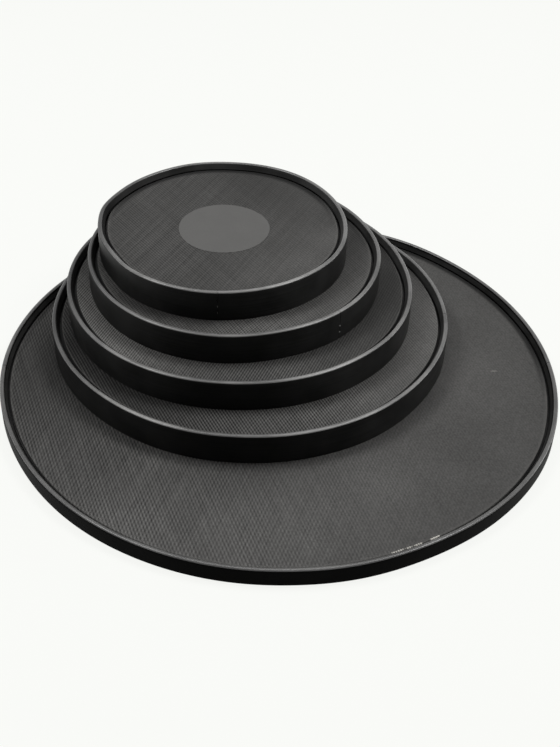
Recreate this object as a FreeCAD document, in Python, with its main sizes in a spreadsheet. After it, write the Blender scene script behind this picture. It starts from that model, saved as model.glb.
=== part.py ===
"""Five nested push-on mesh practice pads: 10, 12, 14 and 16 inch pads on a low 22 inch kick pad.

Every pad is built the same way. A plastic strip, bent to a ring and pinned at its seam, is the outer
band. A flat support flange sits in the band's inner groove and rests on the drum's hoop. Screws threaded
through the flange push a tension ring up against the mesh head, whose hoop is held under the band's lip.
The pads stand nested, each inside the rim of the pad below and leaning towards one side of it.

Frame: +Z up, the origin at the middle of the big pad's foot, millimetres.
"""
import FreeCAD, Part
import Sketcher
import os
from enum import IntEnum

# Driving dimensions shared by all pads, in millimetres and degrees.
COMMON_SIZES = {
    "wall": 4.3,
    "bead_fillet": 1.9,
    "foot_fillet": 0.6,
    "groove_depth": 1.5,
    "groove_play": 0.1,
    "lip_reach": 1.3,
    "lip_rise": 1.4,
    "grip_reach": 0.6,
    "seam_width": 0.5,
    "seam_depth": 1.0,
    "pin_diameter": 2.0,
    "pin_length": 2.4,
    "pin_play": 0.02,
    "mesh_thickness": 0.6,
    "collar_thickness": 0.8,
    "collar_play": 0.3,
    "hoop_play": 0.3,
    "mesh_inset": 11.0,
    "ring_width": 12.0,
    "ring_chamfer": 1.2,
    "tip_pocket_depth": 1.4,
    "tip_play": 0.2,
    "boss_diameter": 11.0,
    "flange_margin": 2.0,
    "thread_diameter": 5.4,
    "thread_play": 0.05,
    "tip_chamfer": 0.6,
    "collar_diameter": 9.2,
    "collar_rise": 1.2,
    "head_play": 0.4,
    "head_square": 6.3,
    "head_rise": 5.6,
    "socket_square": 2.6,
    "socket_depth": 3.0,
    "grub_length": 8.0,
    "dot_diameter": 101.0,
    "dot_thickness": 0.4,
    "dot_shift_x": 1.3,
    "dot_shift_y": -3.0,
}

# Heights that differ between the tall drum pads and the low kick pad, in millimetres.
FAMILY_SIZES = {
    "tall": {
        "rim_rise": 34.8,
        "mesh_recess": 6.5,
        "flange_level": 15.0,
        "flange_thickness": 3.0,
        "boss_below": 3.0,
        "boss_above": 1.8,
        "grip_rise": 3.4,
        "hoop_rise": 4.0,
        "hoop_width": 4.2,
        "ring_rise": 3.4,
        "pin_upper": 16.6,
        "pin_lower": 8.8,
    },
    "low": {
        "rim_rise": 19.6,
        "mesh_recess": 6.8,
        "flange_level": 3.6,
        "flange_thickness": 2.2,
        "boss_below": 1.8,
        "boss_above": 0.6,
        "grip_rise": 1.6,
        "hoop_rise": 2.6,
        "hoop_width": 5.0,
        "ring_rise": 3.2,
        "pin_upper": 13.8,
        "pin_lower": 8.6,
    },
}

# Sizes of each pad's own. A pad stands off the inner wall of the rim below it by its wall_gap.
PAD_SIZES = {
    "outer_diameter_22": 604.0,
    "outer_diameter_16": 441.0,
    "outer_diameter_14": 386.0,
    "outer_diameter_12": 326.0,
    "outer_diameter_10": 276.0,
    "wall_gap_16": 2.3,
    "wall_gap_14": 0.8,
    "wall_gap_12": 12.0,
    "wall_gap_10": 3.2,
}

# Where each pad's seam and its first screw lie, and towards which side the pad leans, in degrees.
PAD_ANGLES = {
    "seam_angle_22": 3.5,
    "seam_angle_16": 0.0,
    "seam_angle_14": 80.0,
    "seam_angle_12": -44.2,
    "seam_angle_10": -89.1,
    "screw_angle_22": 30.0,
    "screw_angle_16": 15.0,
    "screw_angle_14": 40.0,
    "screw_angle_12": 0.0,
    "screw_angle_10": 45.0,
    "lean_angle_16": 117.6,
    "lean_angle_14": 124.5,
    "lean_angle_12": 121.0,
    "lean_angle_10": 138.9,
}

SCREW_COUNTS = {
    "screws_22": 6,
    "screws_16": 6,
    "screws_14": 5,
    "screws_12": 5,
    "screws_10": 4,
}

# The pads by their drum's size in inches, from the bottom of the stack up, each with its family.
PADS = {"22": "low", "16": "tall", "14": "tall", "12": "tall", "10": "tall"}

HALF_TURN = 180
FULL_TURN = 360

# Edges this close to a level, in millimetres, lie on it.
LEVEL_PLAY = 1e-6


class Axis(IntEnum):
    """How a sketch numbers its own two axes."""

    ACROSS = -1
    UP = -2


class Point(IntEnum):
    """How a sketch numbers the points of a line or a circle; START of its across axis is its origin."""

    START = 1
    END = 2
    CENTRE = 3


doc = FreeCAD.newDocument("practice_pad_set")
sheet = doc.addObject("Spreadsheet::Sheet", "sizes")
pieces = []


def fill_sheet():
    """Write every driving dimension to the sheet, with its name as the cell's alias."""
    rows = {**COMMON_SIZES, **PAD_SIZES, **PAD_ANGLES, **SCREW_COUNTS}
    for family, sizes in FAMILY_SIZES.items():
        rows.update({f"{name}_{family}": value for name, value in sizes.items()})
    for row, (name, value) in enumerate(rows.items(), start=1):
        sheet.set(f"A{row}", name)
        sheet.set(f"B{row}", str(value))
        sheet.setAlias(f"B{row}", name)
    doc.recompute()


def measure(text):
    """The present value of an expression."""
    return float(sheet.evalExpression(text))


class Pad:
    """The expressions for one pad's radii and levels, and where the pad stands."""

    def __init__(self, name, below=None):
        self.name = name
        self.family = PADS[name]
        self.screws = int(measure(f"sizes.screws_{name}"))
        self.radius = f"sizes.outer_diameter_{name} / 2"
        self.inner_radius = f"{self.radius} - sizes.wall"
        self.top = self.own("rim_rise")
        self.mesh_top = f"{self.top} - {self.own('mesh_recess')}"
        self.mesh_under = f"{self.mesh_top} - sizes.mesh_thickness"
        self.flange_under = self.own("flange_level")
        self.flange_top = f"{self.flange_under} + {self.own('flange_thickness')}"
        self.hoop_top = f"{self.flange_top} + {self.own('hoop_rise')}"
        self.hoop_outer = f"{self.inner_radius} - sizes.hoop_play"
        self.hoop_inner = f"{self.hoop_outer} - {self.own('hoop_width')}"
        self.ring_outer = f"{self.radius} - sizes.mesh_inset"
        self.ring_inner = f"{self.ring_outer} - sizes.ring_width"
        self.ring_under = f"{self.mesh_under} - {self.own('ring_rise')}"
        self.screw_circle = f"{self.ring_outer} - sizes.ring_width / 2"
        self.screw_tip = f"{self.ring_under} + sizes.tip_pocket_depth"
        self.boss_bottom = f"{self.flange_under} - {self.own('boss_below')}"
        self.boss_top = f"{self.flange_top} + {self.own('boss_above')}"
        self.x, self.y, self.z = self.stand_on(below) if below else ("0", "0", "0")

    def own(self, size):
        """The cell of a size that belongs to this pad's family."""
        return f"sizes.{size}_{self.family}"

    def stand_on(self, below):
        """Where this pad's foot stands: on the mesh below, leaning towards that pad's rim."""
        reach = f"({below.inner_radius} - sizes.wall_gap_{self.name} - {self.radius})"
        angle = f"sizes.lean_angle_{self.name} * 1deg"
        return (
            f"{below.x} + {reach} * cos({angle})",
            f"{below.y} + {reach} * sin({angle})",
            f"{below.z} + {below.mesh_top}",
        )


def new_body(label, pad, turn=None, x="0", y="0", z="0"):
    """Make a body at the pad's place, shifted by x, y and z and turned about +Z."""
    body = doc.addObject("PartDesign::Body", label)
    body.Label = label
    body.setExpression("Placement.Base.x", f"({pad.x} + {x}) * 1mm")
    body.setExpression("Placement.Base.y", f"({pad.y} + {y}) * 1mm")
    body.setExpression("Placement.Base.z", f"({pad.z} + {z}) * 1mm")
    if turn:
        body.setExpression("Placement.Rotation.Angle", f"({turn}) * 1deg")
    pieces.append(body)
    return body


def new_sketch(body, role, name, level=None):
    """Make a sketch on one of the body's own origin planes, at a level along its normal."""
    sketch = body.newObject("Sketcher::SketchObject", name)
    plane = next(item for item in body.Origin.OriginFeatures if item.Role == role)
    sketch.AttachmentSupport = [(plane, "")]
    sketch.MapMode = "FlatFace"
    if level:
        sketch.setExpression("AttachmentOffset.Base.z", f"({level}) * 1mm")
    return sketch


def hold_point(sketch, line, point, across, up):
    """Hold a line's start, or a circle's centre, at expressions measured from the sketch's origin."""
    for kind, place, axis in (("DistanceX", across, Axis.UP), ("DistanceY", up, Axis.ACROSS)):
        if place == "0":
            sketch.addConstraint(Sketcher.Constraint("PointOnObject", line, point, axis))
        else:
            held = Sketcher.Constraint(kind, Axis.ACROSS, Point.START, line, point, measure(place))
            index = sketch.addConstraint(held)
            sketch.setExpression(f"Constraints[{index}]", place)


def draw_outline(sketch, corners):
    """Draw a closed outline whose corners are pairs of expressions."""
    points = [FreeCAD.Vector(measure(across), measure(up), 0) for across, up in corners]
    following = points[1:] + points[:1]
    for start, end in zip(points, following):
        sketch.addGeometry(Part.LineSegment(start, end))
    for line, (across, up) in enumerate(corners):
        joined = (line + 1) % len(corners)
        sketch.addConstraint(Sketcher.Constraint("Coincident", line, Point.END, joined, Point.START))
        hold_point(sketch, line, Point.START, across, up)


def draw_circle(sketch, radius, across="0", up="0"):
    """Draw a circle whose radius and centre are expressions."""
    centre = FreeCAD.Vector(measure(across), measure(up), 0)
    circle = sketch.addGeometry(Part.Circle(centre, FreeCAD.Vector(0, 0, 1), measure(radius)))
    index = sketch.addConstraint(Sketcher.Constraint("Radius", circle, measure(radius)))
    sketch.setExpression(f"Constraints[{index}]", radius)
    hold_point(sketch, circle, Point.CENTRE, across, up)


def draw_square(sketch, side):
    """Draw a square about the sketch's origin."""
    half = f"{side} / 2"
    draw_outline(sketch, [(f"-{half}", f"-{half}"), (half, f"-{half}"), (half, half), (f"-{half}", half)])


def revolve(body, corners, angle=FULL_TURN):
    """Revolve an outline of (radius, level) corners about the body's own Z axis."""
    sketch = new_sketch(body, "XZ_Plane", "section")
    draw_outline(sketch, corners)
    feature = body.newObject("PartDesign::Revolution", "turned")
    feature.Profile = sketch
    feature.ReferenceAxis = (sketch, ["V_Axis"])
    feature.Angle = angle
    return feature


def extrude(body, kind, sketch, length=None, symmetric=False):
    """Pad or pocket a sketch by a length, or cut through everything with no length."""
    feature = body.newObject(f"PartDesign::{kind}", kind.lower())
    feature.Profile = sketch
    if symmetric:
        feature.SideType = "Symmetric"
    if length:
        feature.setExpression("Length", f"({length}) * 1mm")
    else:
        feature.Type = "ThroughAll"
    return feature


def pattern(body, feature, count):
    """Repeat a feature round the body's own Z axis."""
    axis = next(item for item in body.Origin.OriginFeatures if item.Role == "Z_Axis")
    repeat = body.newObject("PartDesign::PolarPattern", "repeat")
    repeat.Originals = [feature]
    repeat.Axis = (axis, [""])
    repeat.Angle = FULL_TURN
    repeat.Occurrences = count
    body.Tip = repeat


def round_edges(body, base, level, size):
    """Round the circular edges that lie at one level of a revolved piece."""
    doc.recompute()
    names = [
        f"Edge{number}"
        for number, edge in enumerate(base.Shape.Edges, start=1)
        if isinstance(edge.Curve, Part.Circle) and abs(edge.Curve.Center.z - level) < LEVEL_PLAY
    ]
    fillet = body.newObject("PartDesign::Fillet", "rounding")
    fillet.Base = (base, names)
    fillet.setExpression("Radius", f"{size} * 1mm")
    return fillet


def band_section(pad):
    """The band's section: grip at the foot, wall, bead, hoop lip and flange groove."""
    grip = f"{pad.inner_radius} - sizes.grip_reach"
    grip_top = pad.own("grip_rise")
    lip = f"{pad.hoop_top} + sizes.groove_play"
    groove_top = f"{pad.flange_top} + sizes.groove_play"
    groove_wall = f"{pad.inner_radius} + sizes.groove_depth"
    return [
        (grip, "0"),
        (pad.radius, "0"),
        (pad.radius, pad.top),
        (pad.inner_radius, pad.top),
        (pad.inner_radius, f"{lip} + sizes.lip_rise"),
        (f"{pad.inner_radius} - sizes.lip_reach", lip),
        (pad.inner_radius, lip),
        (pad.inner_radius, groove_top),
        (groove_wall, groove_top),
        (groove_wall, pad.flange_under),
        (pad.inner_radius, pad.flange_under),
        (pad.inner_radius, f"{grip_top} + sizes.grip_reach"),
        (grip, grip_top),
    ]


def revolve_band(body, pad, angle):
    """Turn the band's section and round its bead and its foot."""
    turned = revolve(body, band_section(pad), angle)
    beaded = round_edges(body, turned, measure(pad.top), "sizes.bead_fillet")
    round_edges(body, beaded, 0.0, "sizes.foot_fillet")


def drill_pin_holes(body, pad, sides):
    """Drill blind holes for the seam pins on the named sides: "" is the +X side and "-" the -X side."""
    for side in sides:
        for height in ("pin_upper", "pin_lower"):
            sketch = new_sketch(body, "YZ_Plane", "pin_place", f"{side}({pad.radius} - sizes.pin_length)")
            draw_circle(sketch, "sizes.pin_diameter / 2 + sizes.pin_play", up=pad.own(height))
            hole = extrude(body, "Pocket", sketch, "sizes.pin_length + sizes.wall")
            hole.Reversed = side == ""


def make_band(pad):
    """The small pads' band: one bent strip, with its butt seam at the body's +X side."""
    body = new_body(f"outer_band_{pad.name}", pad, turn=f"sizes.seam_angle_{pad.name}")
    revolve_band(body, pad, FULL_TURN)
    seam_floor = f"{pad.radius} - sizes.seam_depth"
    nick_floor = f"{pad.top} - sizes.seam_depth"
    past_wall = f"{pad.radius} + sizes.wall"
    past_top = f"{pad.top} + sizes.wall"
    nick_end = f"{pad.inner_radius} - sizes.wall"
    seam = new_sketch(body, "XZ_Plane", "seam_line")
    draw_outline(seam, [
        (seam_floor, "0"),
        (past_wall, "0"),
        (past_wall, past_top),
        (nick_end, past_top),
        (nick_end, nick_floor),
        (seam_floor, nick_floor),
    ])
    extrude(body, "Pocket", seam, "sizes.seam_width", symmetric=True)
    drill_pin_holes(body, pad, ("",))


def make_band_halves(pad):
    """The kick pad's band: two half rings that meet at two pinned seams."""
    for label, turn in (("rear_band", "0"), ("front_band", "180")):
        body = new_body(f"{label}_{pad.name}", pad, turn=f"sizes.seam_angle_{pad.name} + {turn}")
        revolve_band(body, pad, HALF_TURN)
        past_wall = f"{pad.radius} + sizes.wall"
        past_top = f"{pad.top} + sizes.wall"
        seam = new_sketch(body, "XZ_Plane", "seam_line")
        draw_outline(seam, [
            (f"-({past_wall})", "0"),
            (past_wall, "0"),
            (past_wall, past_top),
            (f"-({past_wall})", past_top),
        ])
        extrude(body, "Pocket", seam, "sizes.seam_width", symmetric=True)
        drill_pin_holes(body, pad, ("", "-"))


def make_flange(pad):
    """The support flange: a flat ring in the band's groove, with tapped bosses for the screws."""
    body = new_body(f"support_flange_{pad.name}", pad, turn=f"sizes.screw_angle_{pad.name}")
    inner = f"{pad.ring_inner} - sizes.flange_margin"
    outer = f"{pad.inner_radius} + sizes.groove_depth - sizes.groove_play"
    revolve(body, [
        (inner, pad.flange_under),
        (outer, pad.flange_under),
        (outer, pad.flange_top),
        (inner, pad.flange_top),
    ])
    boss_place = new_sketch(body, "XY_Plane", "boss_place", pad.boss_bottom)
    draw_circle(boss_place, "sizes.boss_diameter / 2", across=pad.screw_circle)
    boss = extrude(body, "Pad", boss_place, f"{pad.boss_top} - ({pad.boss_bottom})")
    pattern(body, boss, pad.screws)
    hole_place = new_sketch(body, "XY_Plane", "hole_place", pad.boss_top)
    draw_circle(hole_place, "sizes.thread_diameter / 2 + sizes.thread_play", across=pad.screw_circle)
    hole = extrude(body, "Pocket", hole_place)
    pattern(body, hole, pad.screws)


def make_mesh_head(pad):
    """The mesh head: a flat disc whose collar slopes down, past the tension ring, to the hoop."""
    body = new_body(f"mesh_head_{pad.name}", pad)
    bend = f"{pad.ring_outer} + sizes.collar_play"
    landing = f"{pad.hoop_inner} + sizes.collar_play"
    revolve(body, [
        ("0", pad.mesh_under),
        (bend, pad.mesh_under),
        (landing, pad.hoop_top),
        (f"{landing} + sizes.collar_thickness", pad.hoop_top),
        (f"{bend} + sizes.collar_thickness", pad.mesh_top),
        ("0", pad.mesh_top),
    ])


def make_mesh_hoop(pad):
    """The hoop that the mesh's edge is bonded to; it lies on the flange, under the band's lip."""
    body = new_body(f"mesh_hoop_{pad.name}", pad)
    revolve(body, [
        (pad.hoop_inner, pad.flange_top),
        (pad.hoop_outer, pad.flange_top),
        (pad.hoop_outer, pad.hoop_top),
        (pad.hoop_inner, pad.hoop_top),
    ])


def make_tension_ring(pad):
    """The tension ring: its chamfered top edge is the bearing edge, and the screws' tips sit in it."""
    body = new_body(f"tension_ring_{pad.name}", pad, turn=f"sizes.screw_angle_{pad.name}")
    revolve(body, [
        (pad.ring_inner, pad.ring_under),
        (pad.ring_outer, pad.ring_under),
        (pad.ring_outer, f"{pad.mesh_under} - sizes.ring_chamfer"),
        (f"{pad.ring_outer} - sizes.ring_chamfer", pad.mesh_under),
        (pad.ring_inner, pad.mesh_under),
    ])
    tip_place = new_sketch(body, "XY_Plane", "tip_place", pad.screw_tip)
    draw_circle(tip_place, "sizes.thread_diameter / 2 + sizes.tip_play", across=pad.screw_circle)
    pocket = extrude(body, "Pocket", tip_place, "sizes.tip_pocket_depth")
    pattern(body, pocket, pad.screws)


def screw_body(pad, number):
    """An empty body on the axis of one of the pad's screws, turned to face the pad's middle."""
    angle = f"(sizes.screw_angle_{pad.name} + {number - 1} * {FULL_TURN} / {pad.screws})"
    return new_body(
        f"tension_screw_{pad.name}_{number}",
        pad,
        turn=angle,
        x=f"({pad.screw_circle}) * cos({angle} * 1deg)",
        y=f"({pad.screw_circle}) * sin({angle} * 1deg)",
    )


def make_key_screw(pad, number):
    """A drum-key screw, seen from its tip down: thread, washer collar and square head."""
    body = screw_body(pad, number)
    thread_radius = "sizes.thread_diameter / 2"
    collar_top = f"{pad.boss_bottom} - sizes.head_play"
    collar_bottom = f"{collar_top} - sizes.collar_rise"
    revolve(body, [
        ("0", collar_bottom),
        ("sizes.collar_diameter / 2", collar_bottom),
        ("sizes.collar_diameter / 2", collar_top),
        (thread_radius, collar_top),
        (thread_radius, f"{pad.screw_tip} - sizes.tip_chamfer"),
        (f"{thread_radius} - sizes.tip_chamfer", pad.screw_tip),
        ("0", pad.screw_tip),
    ])
    head_place = new_sketch(body, "XY_Plane", "head_place", f"{collar_bottom} - sizes.head_rise")
    draw_square(head_place, "sizes.head_square")
    extrude(body, "Pad", head_place, "sizes.head_rise")


def make_grub_screw(pad, number):
    """The low pad's headless screw: a threaded plug with a square socket in its lower end."""
    body = screw_body(pad, number)
    thread_radius = "sizes.thread_diameter / 2"
    bottom = f"{pad.screw_tip} - sizes.grub_length"
    revolve(body, [
        ("0", bottom),
        (f"{thread_radius} - sizes.tip_chamfer", bottom),
        (thread_radius, f"{bottom} + sizes.tip_chamfer"),
        (thread_radius, f"{pad.screw_tip} - sizes.tip_chamfer"),
        (f"{thread_radius} - sizes.tip_chamfer", pad.screw_tip),
        ("0", pad.screw_tip),
    ])
    socket_place = new_sketch(body, "XY_Plane", "socket_place", f"{bottom} + sizes.socket_depth")
    draw_square(socket_place, "sizes.socket_square")
    extrude(body, "Pocket", socket_place, "sizes.socket_depth")


def make_seam_pins(pad, seams):
    """The steel pins across each seam, two to a seam, as one group of separate solids."""
    pins = []
    radius = measure(pad.radius)
    pin_radius = measure("sizes.pin_diameter / 2")
    length = measure("sizes.pin_length")
    for seam in range(seams):
        turn = measure(f"sizes.seam_angle_{pad.name}") + seam * HALF_TURN
        outward = FreeCAD.Rotation(FreeCAD.Vector(0, 0, 1), turn).multVec(FreeCAD.Vector(1, 0, 0))
        for height in ("pin_upper", "pin_lower"):
            foot = outward * (radius - length)
            foot.z = measure(pad.own(height))
            pins.append(Part.makeCylinder(pin_radius, length, foot, outward))
    group = doc.addObject("Part::Feature", f"seam_pins_{pad.name}")
    group.Label = f"seam_pins_{pad.name}"
    group.Shape = Part.makeCompound(pins)
    group.setExpression("Placement.Base.x", f"({pad.x}) * 1mm")
    group.setExpression("Placement.Base.y", f"({pad.y}) * 1mm")
    group.setExpression("Placement.Base.z", f"({pad.z}) * 1mm")
    pieces.append(group)


def make_centre_dot(pad):
    """The round patch on the top pad's mesh, a little off its middle."""
    body = new_body(f"centre_dot_{pad.name}", pad, x="sizes.dot_shift_x", y="sizes.dot_shift_y")
    edge = "sizes.dot_diameter / 2"
    dot_top = f"{pad.mesh_top} + sizes.dot_thickness"
    revolve(body, [("0", pad.mesh_top), (edge, pad.mesh_top), (edge, dot_top), ("0", dot_top)])


def make_pad(pad):
    """Make every piece of one pad."""
    is_low = pad.family == "low"
    if is_low:
        make_band_halves(pad)
    else:
        make_band(pad)
    make_seam_pins(pad, seams=2 if is_low else 1)
    make_flange(pad)
    make_mesh_hoop(pad)
    make_mesh_head(pad)
    make_tension_ring(pad)
    make_screw = make_grub_screw if is_low else make_key_screw
    for number in range(1, pad.screws + 1):
        make_screw(pad, number)


def check_document():
    """Stop if any object failed, or if a piece has no valid solid."""
    for item in doc.Objects:
        if "Invalid" in item.State or "Error" in item.State:
            raise RuntimeError(f"{item.Label} failed: {item.State}")
    for piece in pieces:
        if piece.Shape.isNull() or not piece.Shape.isValid() or not piece.Shape.Solids:
            raise RuntimeError(f"{piece.Label} has no valid solid")


def write_pieces():
    """Write each piece to its own file, named by its label."""
    os.makedirs("parts", exist_ok=True)
    for piece in pieces:
        piece.Shape.exportStep(os.path.join("parts", f"{piece.Label}.step"))
        print(piece.Label, len(piece.Shape.Solids), round(piece.Shape.Volume, 1))


fill_sheet()
pad_below = None
for pad_name in PADS:
    pad_below = Pad(pad_name, pad_below)
    make_pad(pad_below)
make_centre_dot(pad_below)
doc.recompute()
check_document()
write_pieces()
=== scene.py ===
"""The looks of a nested set of five mesh practice pads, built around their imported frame.

A low 22 inch kick pad carries 16, 14, 12 and 10 inch pads, each standing inside the rim of the pad below.
The plastic bands, the woven heads, the round patch and the seam pins are worked out here as surfaces, from
the sizes of the frame's own pieces. The hardware under the heads keeps its meshes and gets its finishes.

Lengths are in metres and +Z is up. The origin is the middle of the kick pad's foot.
"""
import logging
import math
from dataclasses import dataclass, field
from enum import Enum

import bmesh
import bpy
import numpy as np
from mathutils import Matrix, Vector


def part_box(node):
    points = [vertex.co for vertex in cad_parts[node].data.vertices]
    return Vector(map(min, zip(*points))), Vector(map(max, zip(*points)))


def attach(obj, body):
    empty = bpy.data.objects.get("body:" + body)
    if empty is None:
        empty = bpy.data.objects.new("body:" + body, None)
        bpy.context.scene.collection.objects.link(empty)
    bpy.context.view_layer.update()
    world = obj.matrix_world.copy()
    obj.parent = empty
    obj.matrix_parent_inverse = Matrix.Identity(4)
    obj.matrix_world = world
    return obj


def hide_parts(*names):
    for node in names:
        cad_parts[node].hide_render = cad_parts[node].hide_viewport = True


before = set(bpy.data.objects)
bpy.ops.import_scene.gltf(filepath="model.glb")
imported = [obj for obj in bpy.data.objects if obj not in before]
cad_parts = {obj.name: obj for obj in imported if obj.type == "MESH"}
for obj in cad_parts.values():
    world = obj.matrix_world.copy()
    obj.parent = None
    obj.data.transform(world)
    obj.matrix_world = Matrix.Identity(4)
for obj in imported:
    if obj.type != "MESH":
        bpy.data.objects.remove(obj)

LOG = logging.getLogger("practice_pads")
MM = 0.001
HALF_TURN = math.pi
FULL_TURN = 2 * math.pi

ARC_STEPS = 7
MERGE_DISTANCE = 1e-7
# Columns stand this far to both sides of a seam or a nick.
CLOSE_COLUMNS = np.array([0.0, 0.24, 0.26, 0.45, 0.7, 1.0, 1.4, 2.0, 2.8]) * MM

Color = tuple[float, float, float]
Socket = bpy.types.NodeSocket
Value = float | Color | Socket


class Slot(Enum):
    """The record's material slots."""

    BAND = "band"
    FLANGE = "flange"
    HOOP = "hoop"
    MESH = "mesh"
    RING = "ring"
    STEEL = "steel"
    DOT = "dot"


class Family(Enum):
    """The two kinds of pad: tall ones for toms and snares, and the low one for the kick drum."""

    TALL = "tall"
    LOW = "low"


# ---------------------------------------------------------------- surfaces


def smooth_step(values: np.ndarray, low: float, high: float) -> np.ndarray:
    """Rise smoothly from 0 at low to 1 at high.

    Args:
        values: Where the step is read.
        low: The value at which the step starts.
        high: The value at which it ends, which may lie below low.

    Returns:
        The cubic 3t^2 - 2t^3 of the share t of the way from low to high.
    """
    share = np.clip((values - low) / (high - low), 0.0, 1.0)
    return share * share * (3.0 - 2.0 * share)


def away_from(azimuth: np.ndarray, middle: float) -> np.ndarray:
    """The angle of each azimuth from a middle in degrees, between minus and plus half a turn."""
    return (azimuth - math.radians(middle) + HALF_TURN) % FULL_TURN - HALF_TURN


def rounded_outline(outline: np.ndarray) -> np.ndarray:
    """Round every corner of a closed outline.

    Each corner becomes an arc tangent to its two sides. The arc's ends lie round / tan(half the corner's
    angle) from the corner, its centre lies on the bisector, and its points turn evenly about that centre.

    Args:
        outline: The outline's corners, as rows of (radius, level, round).

    Returns:
        The rounded outline's points, as rows of (radius, level).
    """
    corners, rounds = outline[:, :2], outline[:, 2]
    back = np.roll(corners, 1, axis=0) - corners
    ahead = np.roll(corners, -1, axis=0) - corners
    back /= np.linalg.norm(back, axis=1, keepdims=True)
    ahead /= np.linalg.norm(ahead, axis=1, keepdims=True)
    half = np.arccos(np.clip((back * ahead).sum(axis=1), -1.0, 1.0)) / 2.0
    bisector = back + ahead
    bisector /= np.linalg.norm(bisector, axis=1, keepdims=True)
    centre = corners + bisector * (rounds / np.sin(half))[:, None]
    tangent = (rounds / np.tan(half))[:, None]
    start = corners + back * tangent - centre
    end = corners + ahead * tangent - centre
    swing = (HALF_TURN - 2.0 * half)[:, None]
    share = np.linspace(0.0, 1.0, ARC_STEPS)[None, :]
    from_start = (np.sin((1.0 - share) * swing) / np.sin(swing))[:, :, None]
    to_end = (np.sin(share * swing) / np.sin(swing))[:, :, None]
    arcs = centre[:, None, :] + from_start * start[:, None, :] + to_end * end[:, None, :]
    return arcs.reshape(-1, 2)


def with_spacing(outline: np.ndarray, longest: float, closed: bool) -> np.ndarray:
    """Add points along an outline's long runs, by length measured along it.

    Args:
        outline: The outline's points, as rows of (radius, level).
        longest: About the longest run that is left.
        closed: Whether the last point joins the first.

    Returns:
        The outline with its own points and the added ones, in order.
    """
    closest = longest / 20.0
    path = np.vstack([outline, outline[:1]]) if closed else outline
    run = np.concatenate([[0.0], np.cumsum(np.linalg.norm(np.diff(path, axis=0), axis=1))])
    pieces = max(1, int(run[-1] / longest))
    places = np.concatenate([run, np.linspace(0.0, run[-1], pieces + 1)])
    places = np.unique(np.round(places, 6))
    places = places[np.concatenate([[True], np.diff(places) > closest])]
    if closed:
        places = places[places < run[-1] - closest]
    return np.column_stack([np.interp(places, run, path[:, axis]) for axis in (0, 1)])


def turn_columns(
    start: float, sweep: float, count: int, features: np.ndarray, radius: float
) -> np.ndarray:
    """Azimuths along a turn, evenly spaced, with close ones about each feature.

    Args:
        start: The first azimuth.
        sweep: How far the turn goes, one full turn at most.
        count: How many even steps it has.
        features: Azimuths that need close columns, such as a seam or a nick.
        radius: The radius at which the close columns' offsets are measured.

    Returns:
        The azimuths in order. A full turn leaves out its last one, which is its first again.
    """
    offsets = np.concatenate([-CLOSE_COLUMNS[:0:-1], CLOSE_COLUMNS]) / radius
    even = np.linspace(0.0, sweep, count + 1)
    close = ((features[:, None] + offsets[None, :]).ravel() - start) % FULL_TURN
    angles = np.unique(np.round(np.concatenate([even, close[close < sweep]]), 8))
    if sweep > FULL_TURN - 1e-9:
        angles = angles[:-1]
    return start + angles


def link_object(name: str, data: bpy.types.ID) -> bpy.types.Object:
    """Make an object of a mesh, a light or a camera, and link it to the scene."""
    made = bpy.data.objects.new(name, data)
    bpy.context.scene.collection.objects.link(made)
    return made


def smooth_object(mesh: bpy.types.Mesh, sharp_angle: float = 40.0) -> bpy.types.Object:
    """Make a mesh an object, smooth but for its sharp edges.

    Points that coincide at a pole are merged, which drops the faces that have no area there.

    Args:
        mesh: The mesh, changed in place.
        sharp_angle: Faces that meet at more than this many degrees meet at a sharp edge.

    Returns:
        The object, linked to the scene.
    """
    editable = bmesh.new()
    editable.from_mesh(mesh)
    bmesh.ops.remove_doubles(editable, verts=editable.verts, dist=MERGE_DISTANCE)
    editable.to_mesh(mesh)
    editable.free()
    mesh.shade_smooth()
    mesh.set_sharp_from_angle(angle=math.radians(sharp_angle))
    return link_object(mesh.name, mesh)


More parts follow.
